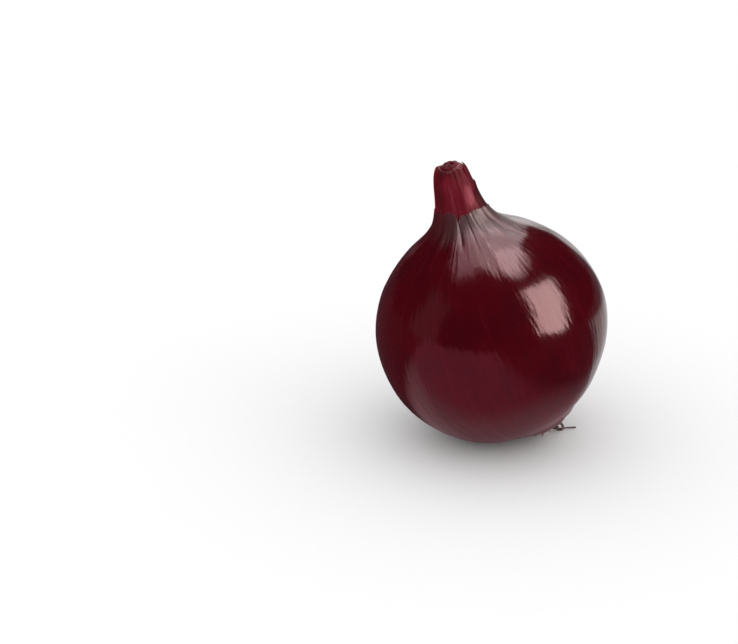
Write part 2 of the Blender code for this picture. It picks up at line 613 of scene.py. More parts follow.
@dataclass
class OnionForm:
    """The onion's outer surface, as points at a distance along it and a turn round it.

    Its sections run from the root plate to the neck's tip. Each is a height along the growing
    axis, a radius, a sideways shift and a tilt in degrees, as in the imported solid.
    """

    lean: float = math.radians(20.5)
    ovality: float = 0.018
    nominal_width: float = 76.5 * MM
    nominal_centre: float = 37.7 * MM
    sections: tuple = (
        (-37.6, 5.4, 5.0, -8.0),
        (-36.9, 8.5, 4.4, -7.5),
        (-34.5, 15.3, 2.9, -6.0),
        (-29.8, 23.6, 1.2, -4.0),
        (-22.6, 30.5, 0.1, -2.0),
        (-12.6, 36.2, -0.2, -0.5),
        (-0.6, 38.6, 0.0, 0.0),
        (11.6, 36.8, 0.0, 0.5),
        (22.5, 31.0, 0.4, 1.5),
        (30.6, 22.8, 1.6, 3.0),
        (35.2, 15.8, 2.9, 4.5),
        (38.7, 11.6, 3.8, 5.5),
        (43.0, 8.9, 4.2, 6.0),
        (48.6, 7.2, 4.7, 6.0),
        (53.4, 6.2, 5.2, 6.0),
        (57.0, 5.1, 5.7, 6.0),
        (59.1, 3.9, 6.0, 6.0),
        (59.6, 2.9, 6.1, 6.0),
        (58.8, 2.1, 6.0, 6.0),
        (57.0, 1.4, 5.7, 6.0),
    )
    creases: tuple[Crease, ...] = (
        Crease(-95, 0.75 * MM, 0.050, 11 * MM, 0.10),
        Crease(-112, 0.35 * MM, 0.090, 20 * MM, -0.04),
        Crease(-74, 0.28 * MM, 0.060, 22 * MM, 0.06),
        Crease(-58, 0.22 * MM, 0.050, 26 * MM, 0.08),
        Crease(-136, 0.40 * MM, 0.110, 16 * MM, -0.06),
        Crease(-24, 0.40 * MM, 0.100, 15 * MM, 0.08),
        Crease(18, 0.60 * MM, 0.080, 18 * MM, 0.05),
        Crease(48, 0.35 * MM, 0.060, 22 * MM, -0.05),
        Crease(76, 0.55 * MM, 0.100, 14 * MM, -0.08),
        Crease(104, 0.30 * MM, 0.060, 24 * MM, 0.06),
        Crease(133, 0.65 * MM, 0.080, 17 * MM, 0.06),
        Crease(-176, 0.40 * MM, 0.090, 15 * MM, 0.04),
    )
    gathered: float = 0.20 * MM  # depth of the fine gathers between those creases
    pinched: float = 34.5 * MM  # height above which the shoulder is pinched in
    neck_foot: float = 41.0 * MM  # height along the growing axis
    seam: float = 40.4 * MM  # height above which the outer skin is a rim of its own
    collar: float = 44.6 * MM  # height at which that rim is torn off
    tip: float = 57.5 * MM  # height round which the neck's tip is dry
    step: float = 0.42 * MM  # how much deeper the neck lies just inside the rim
    flatness: float = 2.2 * MM  # how much the neck's foot is pinched in, front and back
    heel: float = 1.4 * MM  # how much the skin swells out round the root plate
    heel_run: float = 6.5 * MM  # where that is, along the surface,
    heel_width: float = 4.2 * MM  # and how wide
    dull_low: float = 35.5 * MM  # height where the skin round the neck's foot starts to be dull,
    dull_high: float = 41.5 * MM  # and where it is wholly so
    bloom: float = 0.85  # how much of a pale sheen the skin has on one side of the neck's foot
    bloom_turn: float = math.radians(-40)
    bloom_drop: float = 5.0 * MM  # how much lower the dull skin reaches on the right,
    drop_turn: float = math.radians(-14)  # the turn where it does
    drop_width: float = 0.45  # and the width of that, in radians
    girth: float = 3.86  # the radius that the finishes' grain is wrapped round
    vein_count: int = 58
    seed: int = 7
    # pale and deep red patches on the neck's leaves; the deep red ones at the front of the tip and
    # on the neck's left side are painted shade
    blushes_and_shades: tuple = (  # turn in degrees, height, half-width in degrees, half-height, strength
        (-46, 48.8 * MM, 15, 4.2 * MM, 1.0),
        # painted shade: these two deep red patches darken the front of the neck's tip
        (-66, 57.6 * MM, 26, 3.2 * MM, -0.9),
        (-118, 58.4 * MM, 34, 3.0 * MM, -0.9),
        (-98, 50.0 * MM, 6, 5.0 * MM, 0.40),
        # painted shade: this deep red patch darkens the neck's left side
        (-140, 51.0 * MM, 24, 9.0 * MM, -0.85),
        (-8, 55.5 * MM, 16, 3.5 * MM, -0.7),
        (20, 53.5 * MM, 16, 3.0 * MM, 0.5),
        (74, 50.5 * MM, 18, 4.0 * MM, 0.8),
        (98, 56.0 * MM, 16, 3.0 * MM, -0.7),
        (128, 53.0 * MM, 12, 4.5 * MM, 0.6),
        (168, 48.0 * MM, 16, 4.5 * MM, -0.6),
    )
    flutes: Grain = Grain(11, 0.055, 14 * MM)
    swells: Grain = Grain(12, 0.35, 26 * MM)
    puckers: Grain = Grain(13, 0.085, 9 * MM)
    crinkles: Grain = Grain(14, 0.16, 2.6 * MM)
    gathers: Grain = Grain(15, 0.105, 15 * MM)
    unit: float = field(init=False)  # metres per nominal millimetre
    run: Array = field(init=False)
    rows: Array = field(init=False)
    place: Matrix = field(init=False)

    def __post_init__(self) -> None:
        """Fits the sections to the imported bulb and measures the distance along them."""
        low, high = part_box("bulb")
        self.unit = MM * (high[1] - low[1]) / self.nominal_width
        lift = self.nominal_centre / MM * self.unit
        self.place = Matrix.Translation((0, 0, lift)) @ Matrix.Rotation(-self.lean, 4, "Y")
        dense = self.smooth_rows(np.array(self.sections, float), 40)
        step = np.hypot(*np.diff(dense[:, :2], axis=0).T)
        run = np.concatenate([[0.0], np.cumsum(step)])
        self.rows = self.relaxed(dense, run)
        self.run = run * self.unit

    @staticmethod
    def smooth_rows(rows: Array, steps: int) -> Array:
        """Draws a Catmull-Rom curve through rows of numbers.

        Args:
            rows: The rows.
            steps: How many new rows there are from one of them to the next.

        Returns:
            The curve's rows, both ends included.
        """
        padded = np.vstack([2 * rows[0] - rows[1], rows, 2 * rows[-1] - rows[-2]])
        share = (np.arange(steps) / steps)[:, None]
        found = [
            start
            + 0.5 * (end - before) * share
            + (before - 2.5 * start + 2 * end - 0.5 * after) * share**2
            + 0.5 * (3 * start - before - 3 * end + after) * share**3
            for before, start, end, after in zip(padded, padded[1:], padded[2:], padded[3:])
        ]
        return np.vstack([*found, rows[-1:]])

    @staticmethod
    def relaxed(rows: Array, run: Array, reach: float = 1.6) -> Array:
        """Evens out a curve's bends with a Gaussian, leaving its ends alone.

        Args:
            rows: The curve's rows of numbers.
            run: The distance along the curve to each.
            reach: The Gaussian's standard deviation.

        Returns:
            The new rows, at the same distances.
        """
        even = np.linspace(0.0, run[-1], len(run))
        spaced = np.stack([np.interp(even, run, column) for column in rows.T], axis=1)
        span = int(4 * reach / even[1])
        weights = np.exp(-0.5 * (np.arange(-span, span + 1) * even[1] / reach) ** 2)
        weights /= weights.sum()
        padded = np.pad(spaced, ((span, span), (0, 0)), mode="reflect", reflect_type="odd")
        soft = [np.convolve(column, weights, "valid") for column in padded.T]
        return np.stack([np.interp(run, even, column) for column in soft], axis=1)

    @property
    def length(self) -> float:
        """The distance along the surface from the root plate to inside the tip."""
        return float(self.run[-1])

    def run_at_height(self, height: float) -> float:
        """The distance along the surface to a height along the growing axis."""
        rising = slice(0, int(np.argmax(self.rows[:, 0])))
        return float(np.interp(height / MM, self.rows[rising, 0], self.run[rising]))

    def bare(self, run: Array, turn: Array) -> Array:
        """Finds points on the surface without its relief.

        Args:
            run: Distances along the surface.
            turn: Turns round the growing axis.

        Returns:
            The points, in the growing frame.
        """
        height, radius, shift, tilt = (
            np.interp(run, self.run, column) * (self.unit if i < 3 else math.pi / 180)
            for i, column in enumerate(self.rows.T)
        )
        wide = radius * (1 + self.ovality / 2) * np.cos(turn)
        deep = radius * (1 - self.ovality / 2) * np.sin(turn)
        return np.stack([shift + wide * np.cos(tilt), deep, height - wide * np.sin(tilt)], axis=-1)

    def outward(self, run: Array, turn: Array) -> Array:
        """Finds which way the bare surface faces.

        Args:
            run: Distances along the surface.
            turn: Turns round the growing axis.

        Returns:
            Its outward directions, in the growing frame.
        """
        nudge, twist = 0.2 * MM, 0.004
        up = self.bare(np.minimum(run + nudge, self.length), turn)
        up = up - self.bare(np.maximum(run - nudge, 0.0), turn)
        around = self.bare(run, turn + twist) - self.bare(run, turn - twist)
        across = np.cross(around, up)
        return across / np.linalg.norm(across, axis=-1, keepdims=True)

    def fold_depth(self, run: Array, turn: Array) -> Array:
        """Works out the folds of the neck and the shoulder.

        Args:
            run: Distances along the surface.
            turn: Turns round the growing axis.

        Returns:
            How deep they are.
        """
        foot = self.run_at_height(self.neck_foot)
        gather = np.clip(self.gathers.at(run, turn) - 0.1, 0.0, 2.0)
        up_neck = smooth_rise(run, foot - 4 * MM, foot + 5 * MM)
        spread = smooth_rise(run, foot - 24 * MM, foot - 1 * MM) ** 1.6
        depth = self.gathered * gather * spread * (1 - 0.8 * up_neck)
        for crease in self.creases:
            below = (foot - run) / crease.reach
            middle = math.radians(crease.turn) + crease.drift * np.clip(below, 0.0, 1.5)
            strength = (1 - smooth_rise(below, -0.05, 1.0)) * (1 - 0.7 * up_neck)
            fold = crease.depth * strength * bell(swing(turn, middle) / crease.width, 1.35)
            depth = np.maximum(depth, fold)
        return depth

    def vein_height(self, run: Array, turn: Array) -> Array:
        """Works out the raised veins that run from the root plate to the neck.

        Args:
            run: Distances along the surface.
            turn: Turns round the growing axis.

        Returns:
            How high they are, from 0 to about 1.
        """
        rng = np.random.default_rng(self.seed)
        total = np.zeros_like(run)
        share = run / self.length
        for i in range(self.vein_count):
            middle = TAU * (i + rng.uniform(-0.36, 0.36)) / self.vein_count
            middle = middle + rng.uniform(-0.03, 0.03) * np.sin(share * rng.uniform(3, 8))
            width = rng.uniform(0.008, 0.015)
            strength = rng.uniform(0.35, 1.0)
            total = np.maximum(total, strength * bell(swing(turn, middle) / width))
        return total

    def dip(self, run: Array) -> Array:
        """Works out how much lower the neck lies than the skin that is wrapped round its foot.

        Args:
            run: Distances along the surface.

        Returns:
            That depth, at each distance.
        """
        seam, collar = self.run_at_height(self.seam), self.run_at_height(self.collar)
        inside = smooth_rise(run, seam, seam + 1.2 * MM)
        return self.step * inside * (1 - 0.85 * smooth_rise(run, collar + 1 * MM, collar + 9 * MM))

    def pinch(self, run: Array, turn: Array) -> Array:
        """Works out how the neck's foot is pinched in at the front and the back.

        Args:
            run: Distances along the surface.
            turn: Turns round the growing axis.

        Returns:
            How far it is.
        """
        start, foot = self.run_at_height(self.pinched), self.run_at_height(self.collar)
        swell = smooth_rise(run, start, foot) * (1 - 0.75 * smooth_rise(run, foot, foot + 9 * MM))
        return self.flatness * swell * np.sin(turn) ** 2

    def relief(self, run: Array, turn: Array) -> Array:
        """Works out how the real surface differs from the bare one.

        Args:
            run: Distances along the surface.
            turn: Turns round the growing axis.

        Returns:
            How far it stands out.
        """
        foot = self.run_at_height(self.neck_foot)
        on_neck = smooth_rise(run, foot - 2 * MM, foot + 5 * MM)
        at_root = 1 - smooth_rise(run, 1.5 * MM, 13 * MM)
        body = (1 - on_neck) * smooth_rise(run, 2 * MM, 12 * MM)
        upper_side = smooth_rise(np.cos(turn), -0.5, 0.3)
        puckers = self.puckers.at(run, turn)
        height = 0.16 * MM * self.swells.at(run, turn) * body
        height += 0.040 * MM * self.flutes.at(run, turn) * (0.2 + 0.8 * body)
        height += 0.050 * MM * self.vein_height(run, turn) * (1 - 0.5 * on_neck)
        height += 0.20 * MM * puckers * at_root
        height += self.heel * bell((run - self.heel_run) / self.heel_width) * upper_side
        height += 0.07 * MM * puckers * on_neck
        height += 0.05 * MM * self.crinkles.at(run, turn) * on_neck
        return height - self.fold_depth(run, turn) - self.pinch(run, turn)

    def blush_and_shade(self, run: Array, turn: Array) -> Array:
        """Works out where the leaves of the neck are pale and where they are deep red: their own
        uneven colour, with painted shade on the neck's left side and at the front of its tip.

        Args:
            run: Distances along the surface.
            turn: Turns round the growing axis.

        Returns:
            1 where they are thin and pale, down to -1 where they are deep red.
        """
        total = np.zeros_like(run)
        for degrees, height, wide, tall, strength in self.blushes_and_shades:
            away = (swing(turn, math.radians(degrees)) / math.radians(wide)) ** 2
            away = away + ((run - self.run_at_height(height)) / tall) ** 2
            total += strength * bell(away, 1.4)
        return total

    def points(self, run: Array, turn: Array, lift: "Array | float") -> Array:
        """Finds points on the surface.

        Args:
            run: Distances along the surface, in metres.
            turn: Turns round the growing axis, in radians.
            lift: How far to stand out from the surface.

        Returns:
            World points, never lower than what the onion rests on.
        """
        out = (self.relief(run, turn) + lift)[..., None] * self.outward(run, turn)
        world = placed(self.place, self.bare(run, turn) + out)
        world[..., 2] = np.maximum(world[..., 2], 0.0)
        return world

    def marks(self, run: Array, turn: Array) -> dict:
        """Works out the attributes that the skin's finish reads.

        Args:
            run: Distances along the surface.
            turn: Turns round the growing axis.

        Returns:
            An array for each attribute, by name.
        """
        aside, back = self.girth * np.cos(turn), self.girth * np.sin(turn)
        tip = self.run_at_height(self.tip)
        tip_dryness = 0.45 * smooth_rise(run, tip - 2 * MM, tip + 3 * MM)
        lower = self.bloom_drop * bell(swing(turn, self.drop_turn) / self.drop_width)
        low, high = self.run_at_height(self.dull_low), self.run_at_height(self.dull_high)
        dull = smooth_rise(run + lower, low, high)
        return {
            "run": np.stack([aside, back, run / (10 * MM)], axis=-1),
            "neck": smooth_rise(self.dip(run), 0.0, 0.08 * MM),
            # this fold mask sets the painted shade in the folds of the skin and leaves
            "fold": smooth_rise(self.fold_depth(run, turn), 0.15 * MM, 0.80 * MM),
            "vein": self.vein_height(run, turn),
            "blush_and_shade": self.blush_and_shade(run, turn),
            "dull": dull,
            "bloom": self.bloom * dull * smooth_rise(np.cos(turn - self.bloom_turn), -0.1, 0.6),
            "dryness": tip_dryness + 0.8 * (1 - smooth_rise(run, 0.0, 4 * MM)),
        }


# --- The onion's pieces -----------------------------------------------------------------------


@dataclass
class BulbSkin:
    """The glossy skin of the bulb and the dry leaves of its neck, as one closed surface."""

    form: OnionForm
    paper: Material
    around: int = 352
    along: int = 262

    def build(self) -> Piece:
        """Lays the skin over the whole form and closes it under the plate and in the tip.

        Returns:
            The piece.
        """
        turn = circle(self.along, self.around)
        run = np.tile(self.stations()[:, None], (1, self.around))
        points = self.form.points(run, turn, -self.form.dip(run))
        faces = tube_faces(self.along, self.around)
        made = make_mesh("bulb_skin", points, faces, self.form.marks(run, turn))
        return add_piece(made, self.paper, ("bulb",))

    def stations(self) -> Array:
        """Spaces out the skin's rows.

        Returns:
            Distances along the form, closer together on the neck and by the root plate.
        """
        even = np.linspace(0.0, 1.0, 400)
        foot = self.form.run_at_height(self.form.neck_foot) / self.form.length
        density = 1 + 0.9 * smooth_rise(even, foot - 0.08, foot) + 0.8 * (even < 0.05)
        grown = np.concatenate([[0.0], np.cumsum((density[1:] + density[:-1]) / 2)])
        wanted = np.linspace(0.0, grown[-1], self.along)
        return np.interp(wanted, grown, even) * self.form.length


@dataclass(frozen=True)
class Tear:
    """The torn edge of a paper: where it lies and how ragged it is."""

    height: float  # along the growing axis
    slant: float  # rise from one side of the neck to the other
    slant_turn: float  # degrees, the turn at which it is highest
    jag: float
    grain: Grain
    splits: tuple = ()  # turn in degrees, depth and width in radians of each long tear

    def run(self, form: OnionForm, turn: Array) -> Array:
        """Finds where the edge lies.

        Args:
            form: The surface that the paper is laid on.
            turn: Turns round the growing axis.

        Returns:
            The distance along the surface at each turn.
        """
        slope = 0.5 * self.slant * np.cos(turn - math.radians(self.slant_turn))
        teeth = self.grain.at(np.full_like(turn, 0.05), turn)
        nicks = np.abs(self.grain.at(np.full_like(turn, 0.11), turn * 3.0))
        edge = form.run_at_height(self.height) + slope + self.jag * (teeth - 0.55 * nicks)
        for degrees, depth, width in self.splits:
            edge = edge - depth * bell(swing(turn, math.radians(degrees)) / width, 1)
        return edge


@dataclass
class NeckPaper:
    """A thin dry leaf wrapped round the neck, torn along its top and open along one side."""

    form: OnionForm
    paper: Material
    name: str
    top: Tear
    bottom: float  # height along the growing axis, out of sight under what lies outside it
    middle: float  # degrees, the middle of the stretch that it covers
    spread: float  # degrees covered
    foot_lift: float  # how far it stands out from the outer skin's surface, low down
    top_lift: float  # and along its torn edge
    curl: float  # how much further that edge turns out here and there
    papery: float = 1.0  # 0 for skin like the bulb's, 1 for skin like the neck's
    thickness: float = 0.13 * MM
    tuck: float = 0.22 * MM  # how much deeper its lower edge is buried
    rows: int = 46
    columns: int = 320

    def build(self) -> Piece:
        """Builds the leaf's outer and inner faces and joins them round its edges.

        Returns:
            The piece.
        """
        half, middle = math.radians(self.spread) / 2, math.radians(self.middle)
        turns = middle + np.linspace(-half, half, self.columns)
        share = np.linspace(0.0, 1.0, self.rows)[:, None]
        low = self.form.run_at_height(self.bottom)
        run = low + (self.top.run(self.form, turns) - low) * share
        turn = np.tile(turns, (self.rows, 1))
        side = np.clip((half - np.abs(turns - middle)) / 0.30, 0.0, 1.0)
        wave = np.clip(0.5 + 0.6 * self.form.crinkles.at(run * 0.5, turn + 1.0), 0.0, 2.0)
        buried = self.tuck * (1 - smooth_rise(share, 0.0, 0.14))
        lift = self.foot_lift + (self.top_lift - self.foot_lift) * share**1.5 - buried
        lift = lift + self.curl * wave * share**7
        lift = lift + 0.6 * self.curl * (1 - side) ** 3 * wave * smooth_rise(share, 0.2, 0.7)
        outer = self.form.points(run, turn, lift)
        inner = self.form.points(run, turn, lift - self.thickness)
        front, back = (
            grid_faces(self.rows, self.columns, closed=False, start=start)
            for start in (0, run.size)
        )
        marks = self.form.marks(run, turn)
        edge = smooth_rise(share, 0.90, 1.0) * np.ones_like(run)
        marks["dryness"] = np.maximum(marks["dryness"], edge * 0.45)
        marks["neck"] = np.maximum(self.papery, edge * 0.7)
        both = {label: np.concatenate([values, values]) for label, values in marks.items()}
        faces = front + flipped(back) + self.rim(run.size)
        made = make_mesh(self.name, np.concatenate([outer, inner]), faces, both)
        return add_piece(made, self.paper)

    def rim(self, count: int) -> list:
        """Joins the leaf's two faces all round its edge.

        Args:
            count: How many points each of them has.

        Returns:
            Four point numbers per quad.
        """
        number = np.arange(count).reshape(self.rows, self.columns)
        sides = (number[0, :-1], number[:-1, -1], number[-1, :0:-1], number[:0:-1, 0])
        edge = np.concatenate(sides).tolist()
        return [[b, a, a + count, b + count] for a, b in zip(edge, edge[1:] + edge[:1])]


@dataclass
class WitheredCore:
    """The shrivelled, twisted leaves that close the neck's tip."""

    form: OnionForm
    paper: Material
    radius: float = 3.5 * MM
    crown: float = 0.9 * MM  # how far its middle rises above its edge
    twist: float = 0.26 * MM  # how high its twisted folds are
    skirt: float = 1.4 * MM  # how far its edge turns down inside the neck
    seat: tuple[float, float, float] = (6.05 * MM, 0.0, 58.75 * MM)  # in the growing frame
    tilt: float = math.radians(6)
    rings: int = 40
    around: int = 120

    def build(self) -> Piece:
        """Builds the core as a crumpled dome whose folds wind round its middle.

        Returns:
            The piece.
        """
        share = np.linspace(0.0, 1.0, self.rings)[:, None]
        turn = circle(self.rings, self.around)
        knots = Grain(51, 0.30, 9 * MM).at(share * 0.03 + 0 * turn, turn)
        folds = np.sin(3 * turn + 5.0 * share + 0.9 * knots) + 0.5 * np.sin(7 * turn - 4 * share)
        rise = self.crown * (1 - share**2) * (1 + 0.25 * knots)
        rise = rise + self.twist * folds * np.sin(share * math.pi * 0.9) ** 0.7
        rise = rise - self.skirt * smooth_rise(share, 0.90, 1.0)
        reach = self.radius * share * (1 + 0.05 * knots)
        wide, deep = reach * np.cos(turn), reach * np.sin(turn)
        c, s = math.cos(self.tilt), math.sin(self.tilt)
        local = np.stack([wide * c + rise * s, deep, rise * c - wide * s], axis=-1)
        points = placed(self.form.place, (local + np.array(self.seat)) / MM * self.form.unit)
        last = (self.rings - 1) * self.around
        faces = flipped(grid_faces(self.rings, self.around))
        faces.append(list(range(last, last + self.around)))
        ones = np.ones_like(turn)
        marks = {
            "run": np.stack([wide * 900, deep * 900, 4 + share * 0.4 + 0 * turn], axis=-1),
            "neck": ones,
            # painted shade in the troughs of the core's twisted folds
            "fold": smooth_rise(-folds, 0.2, 1.5),
            "vein": 0 * ones,
            "blush_and_shade": np.clip(0.35 * knots - 0.5, -1.0, 1.0),
            "dull": ones,
            "bloom": 0 * ones,
            "dryness": np.clip(0.28 + 0.35 * knots, 0.0, 1.0),
        }
        made = make_mesh("withered_core", points, faces, marks)
        return add_piece(made, self.paper)


@dataclass
class RootEnd:
    """The corky root plate and every dried root that grows out of it."""

    form: OnionForm
    cork: Material
    bark: Material
    dark_bark: Material
    plate_radius: float = 5.6 * MM
    plate_depth: float = 1.3 * MM
    plate_sunk: float = 0.25 * MM  # how far its upper face is sunk into the skin
    long_radius: float = 0.40 * MM
    loop_radius: float = 0.42 * MM
    stub_radius: float = 0.42 * MM
    stub_ring: float = 4.1 * MM
    splay: float = math.radians(38)
    lowest: float = 0.15 * MM
    lowest_hair: float = 0.45 * MM
    stubs: tuple = (  # turn in degrees and length
        (-126, 2.4 * MM),
        (-99, 3.4 * MM),
        (-74, 2.6 * MM),
        (-50, 3.7 * MM),
        (-27, 2.9 * MM),
        (22, 3.3 * MM),
        (45, 2.5 * MM),
        (70, 3.6 * MM),
        (96, 2.8 * MM),
        (124, 2.3 * MM),
    )
    long_root: tuple = (  # world points in millimetres, from the plate outwards
        (18.9, 0.9, 2.3),
        (20.8, 1.2, 1.1),
        (23.6, 0.5, 0.7),
        (26.6, 1.3, 0.8),
        (29.4, 1.9, 0.7),
    )
    looped_root: tuple = (
        (21.6, -0.7, 3.3),
        (23.2, -1.1, 3.9),
        (24.6, -1.5, 3.3),
        (24.8, -1.7, 2.0),
        (23.6, -1.6, 1.2),
        (22.3, -1.5, 1.6),
    )
    hair_count: int = 110
    seed: int = 21

    @cached_property
    def place(self) -> Matrix:
        """Works out the plate's own frame.

        Returns:
            Its matrix; local -Z points out of the onion.
        """
        height, _, shift, tilt = self.form.sections[0]
        section = Matrix.Translation((shift * self.form.unit, 0, height * self.form.unit))
        return self.form.place @ section @ Matrix.Rotation(math.radians(tilt), 4, "Y")

    def build(self) -> None:
        """Builds the plate, then its roots from the thickest to the finest."""
        self.build_plate()
        for name, route, radius, node in (
            ("long_root", self.long_root, self.long_radius, "root_long"),
            ("looped_root", self.looped_root, self.loop_radius, "root_loop"),
        ):
            self.build_root(name, np.array(route) * MM, radius, self.dark_bark, node)
        for i, (degrees, length) in enumerate(self.stubs):
            name, node = f"short_root_{i + 1:02d}", f"root_stub_{i + 1:02d}"
            route = self.stub_route(math.radians(degrees), length)
            bark = self.dark_bark if i % 3 == 0 else self.bark
            self.build_root(name, route, self.stub_radius, bark, node)
        self.build_hairs()

    def build_plate(self, around: int = 160, rings: int = 44) -> Piece:
        """Builds the cork: a low ragged dome with pits where roots have dropped off.

        Args:
            around: Points in each of its rings.
            rings: How many rings there are.

        Returns:
            The piece.
        """
        grain = Grain(31, 0.10, 8 * MM)
        coarse = Grain(32, 0.30, 14 * MM)
        share = np.linspace(0.0, 1.0, rings)[:, None]
        turn = circle(rings, around)
        run = share * 0.09 + 0 * turn
        ragged = 1 + 0.045 * grain.at(np.full_like(turn, 0.02), turn)
        angle = share * math.pi
        reach = self.plate_radius * ragged * (np.sin(angle) ** 0.55)
        sink = -self.plate_depth * (0.5 - 0.5 * np.cos(angle)) + self.plate_sunk
        knobs = 0.16 * MM * grain.at(run, turn) + 0.14 * MM * coarse.at(run, turn)
        sink = sink - knobs * np.sin(angle) * (share > 0.5)
        local = np.stack([reach * np.cos(turn), reach * np.sin(turn), sink], axis=-1)
        points = placed(self.place, local)
        points[..., 2] = np.maximum(points[..., 2], self.lowest)
        made = make_mesh("root_cork", points, flipped(tube_faces(rings, around)), {})
        return add_piece(made, self.cork, ("root_plate",))

    def stub_route(self, turn: float, length: float) -> Array:
        """Finds the way that a short root goes.

        Args:
            turn: Where on the plate it grows.
            length: How far it reaches out of it.

        Returns:
            World points, from inside the plate outwards.
        """
        outward = np.array([math.cos(turn), math.sin(turn), 0.0])
        start = outward * self.stub_ring + DOWN * self.plate_depth * 0.5
        route = [start, start + DOWN * self.plate_depth * 0.5]
        for share in (0.5, 1.0):
            bend = self.splay * (1 + share)
            along = outward * math.sin(bend) + DOWN * math.cos(bend)
            route.append(route[1] + length * share * along)
        return placed(self.place, np.array(route))

    def build_root(
        self, name: str, route: Array, radius: float, bark: Material, node: str
    ) -> Piece:
        """Builds one wrinkled root that tapers to a frayed end.

        Args:
            name: The piece's name.
            route: World points from the plate outwards.
            radius: The root's radius at the plate.
            bark: Its finish.
            node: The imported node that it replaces.

        Returns:
            The piece.
        """
        seed = sum(map(ord, name))
        points, faces, run = self.tube(route, radius, seed, around=20, steps=14, tip=0.6)
        made = make_mesh(name, points, faces, {"run": run})
        return add_piece(made, bark, (node,))

    def tube(
        self, route: Array, radius: float, seed: int, around: int, steps: int, tip: float = 0.3
    ) -> tuple[Array, list, Array]:
        """Works out a crooked, wrinkled, tapering tube.

        Args:
            route: The points that it follows.
            radius: Its radius at the start.
            seed: What its knots and wrinkles are drawn from.
            around: Points round it.
            steps: Rings from one point of the route to the next.
            tip: The share of the radius that is left at the end.

        Returns:
            World points, faces, and the run attribute.
        """
        rng = np.random.default_rng(seed)
        line = OnionForm.smooth_rows(route, steps)
        line[1:-1] += rng.normal(scale=radius * 0.06, size=line[1:-1].shape)
        tangent = np.gradient(line, axis=0)
        tangent /= np.linalg.norm(tangent, axis=1, keepdims=True)
        side = np.cross(tangent, (0.31, 0.52, 0.79))
        side /= np.linalg.norm(side, axis=1, keepdims=True)
        other = np.cross(tangent, side)
        share = np.linspace(0.0, 1.0, len(line))[:, None]
        turn = circle(len(line), around)
        knots = 1 + 0.16 * np.interp(share, np.linspace(0, 1, 12), rng.normal(size=12))
        ribs = 1 + 0.09 * np.cos(5 * turn + 3 * share) + 0.05 * np.cos(9 * turn - 5 * share)
        thick = radius * (1 - (1 - tip) * share**1.5) * knots * ribs
        ring = side[:, None] * (thick * np.cos(turn))[..., None]
        ring = ring + other[:, None] * (thick * np.sin(turn))[..., None]
        points = (line[:, None] + ring).reshape(-1, 3)
        points[:, 2] = np.maximum(points[:, 2], self.lowest)
        step = np.linalg.norm(np.diff(line, axis=0), axis=1)
        along = np.concatenate([[0.0], np.cumsum(step)])[:, None] / MM + 0 * turn
        run = np.stack([np.cos(turn), np.sin(turn), along], axis=-1).reshape(-1, 3)
        return points, tube_faces(len(line), around), run + rng.uniform(0, 50)

    def build_hairs(self) -> Piece:
        """Builds the fringe of broken root hairs over the plate, all as one piece.

        Returns:
            The piece.
        """
        rng = np.random.default_rng(self.seed)
        points, faces, runs, count = [], [], [], 0
        for _ in range(self.hair_count):
            turn = rng.uniform(0, TAU)
            reach = self.plate_radius * math.sqrt(rng.uniform(0.04, 0.92))
            outward = np.array([math.cos(turn), math.sin(turn), 0.0])
            sideways = np.array([-math.sin(turn), math.cos(turn), 0.0])
            start = outward * reach + DOWN * self.plate_depth * 0.6
            length = rng.uniform(0.8, 2.6) * MM
            lean = rng.uniform(0.2, 1.1) * reach / self.plate_radius
            bend = rng.uniform(-0.5, 0.5)
            middle = start + DOWN * 0.4 * MM + 0.5 * length * (outward * lean + DOWN)
            end = middle + 0.5 * length * (outward * (lean + 0.4) + sideways * bend + DOWN * 0.6)
            route = placed(self.place, np.stack([start, middle, end]))
            if route[:, 2].min() < self.lowest_hair:
                continue
            seed = int(rng.integers(1_000_000))
            radius = rng.uniform(0.07, 0.17) * MM
            made_points, made_faces, run = self.tube(route, radius, seed, around=6, steps=4)
            points.append(made_points)
            faces += [[number + count for number in face] for face in made_faces]
            runs.append(run)
            count += len(made_points)
        run = {"run": np.concatenate(runs)}
        made = make_mesh("root_hairs", np.concatenate(points), faces, run)
        return add_piece(made, self.bark)


# --- The studio -------------------------------------------------------------------------------


@dataclass(frozen=True)
class Softbox:
    """One rectangular soft light, seen from the onion in a direction and at a distance.

    Its shine is what glossy surfaces mirror and its glow is what lights matt ones, so that the
    highlights and the even light can each be set. Both are radiances.
    """

    name: str
    direction: tuple[float, float, float]
    across: tuple[float, float, float]  # the way its width runs
    distance: float
    width: float
    height: float
    shine: float
    glow: float
    tint: Colour

    def build(self, centre: Vector) -> None:
        """Adds the pair of lamps, unseen by the camera itself.

        Args:
            centre: What they face.
        """
        back = Vector(self.direction).normalized()
        across = Vector(self.across)
        across = (across - back * across.dot(back)).normalized()
        turned = Matrix((across, back.cross(across), back)).transposed().to_4x4()
        for part, radiance in (("shine", self.shine), ("glow", self.glow)):
            name = f"{self.name}_{part}"
            data = bpy.data.lights.new(name, "AREA")
            data.shape = "RECTANGLE"
            data.size, data.size_y = self.width, self.height
            data.energy = radiance * math.pi * self.width * self.height
            data.color = self.tint
            lamp = bpy.data.objects.new(name, data)
            lamp.matrix_world = Matrix.Translation(centre + back * self.distance) @ turned
            lamp.visible_camera = False
            lamp.visible_diffuse = part == "glow"
            lamp.visible_glossy = part == "shine"
            bpy.context.scene.collection.objects.link(lamp)


